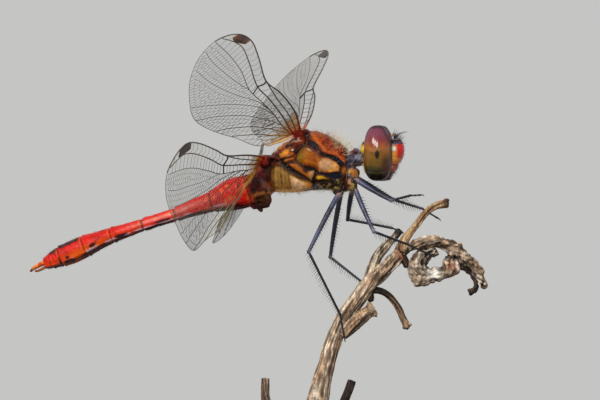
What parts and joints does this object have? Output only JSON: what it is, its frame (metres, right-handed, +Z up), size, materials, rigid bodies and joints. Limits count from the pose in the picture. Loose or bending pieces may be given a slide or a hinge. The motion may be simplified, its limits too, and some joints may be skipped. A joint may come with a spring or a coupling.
{
  "type": "dragonfly on a perch",
  "caption": "Life-size still model of a male ruddy darter dragonfly gripping a dry stem, held on a plain display stand.",
  "frame": {"origin": "centre of the stand base's underside", "axes": "+Z up, +X the way the dragonfly faces (its body is turned 7.5 degrees from it towards -Y), +Y to the dragonfly's left"},
  "size_m": [0.0484, 0.0561, 0.0393],
  "materials": {
    "red_cuticle": "satin scarlet cuticle with black marks and an orange flank",
    "dark_cuticle": "satin brown-black cuticle",
    "thorax_cuticle": "orange-brown plates with black seams, finely haired",
    "face_cuticle": "scarlet brow over an ochre and pink lower face",
    "compound_eye": "glossy, plum above, amber to olive below, finely faceted",
    "black_cuticle": "satin black with a bluish sheen",
    "wing_membrane": "clear, faintly iridescent, amber at the root",
    "wing_vein": "dark brown veins and wing spots",
    "fine_hair": "fine pale hairs and black bristles",
    "dry_stem": "weathered fibrous plant stem",
    "dry_leaf": "brittle curled dry leaf",
    "stand_wood": "dark satin turned wood",
    "stand_brass": "satin brass"
  },
  "bodies": {
    "root": {"head": "dark_cuticle", "face": "face_cuticle", "mouthparts": "face_cuticle", "eye_right": "compound_eye", "eye_left": "compound_eye", "antenna_right": "black_cuticle", "antenna_left": "black_cuticle", "prothorax": "thorax_cuticle", "thorax": "thorax_cuticle", "abdomen_1": "red_cuticle", "abdomen_2": "red_cuticle", "abdomen_3": "red_cuticle", "abdomen_4": "red_cuticle", "abdomen_5": "red_cuticle", "abdomen_6": "red_cuticle", "abdomen_7": "red_cuticle", "abdomen_8": "red_cuticle", "abdomen_9": "red_cuticle", "abdomen_10": "red_cuticle", "genital_lobe": "dark_cuticle", "epiproct": "red_cuticle", "cercus_right": "red_cuticle", "cercus_left": "red_cuticle", "forewing_right": "wing_membrane", "forewing_left": "wing_membrane", "hindwing_right": "wing_membrane", "hindwing_left": "wing_membrane", "front_right_femur": "black_cuticle", "front_right_tibia": "black_cuticle", "front_right_tarsus": "black_cuticle", "front_left_femur": "black_cuticle", "front_left_tibia": "black_cuticle", "front_left_tarsus": "black_cuticle", "middle_right_femur": "black_cuticle", "middle_right_tibia": "black_cuticle", "middle_right_tarsus": "black_cuticle", "middle_left_femur": "black_cuticle", "middle_left_tibia": "black_cuticle", "middle_left_tarsus": "black_cuticle", "hind_right_femur": "black_cuticle", "hind_right_tibia": "black_cuticle", "hind_right_tarsus": "black_cuticle", "hind_left_femur": "black_cuticle", "hind_left_tibia": "black_cuticle", "hind_left_tarsus": "black_cuticle", "stem": "dry_stem", "twig_top": "dry_stem", "twig_left": "dry_stem", "stub": "dry_stem", "twig_lower": "dry_stem", "twig_spur": "dry_stem", "twig_thorn": "dry_stem", "shoot_right": "dry_stem", "shoot_left": "dry_stem", "leaf_arm": "dry_leaf", "leaf_curl": "dry_leaf", "leaf_stalk": "dry_leaf", "stand_base": "stand_wood", "stand_rod": "stand_brass"}
  },
  "joints": []
}
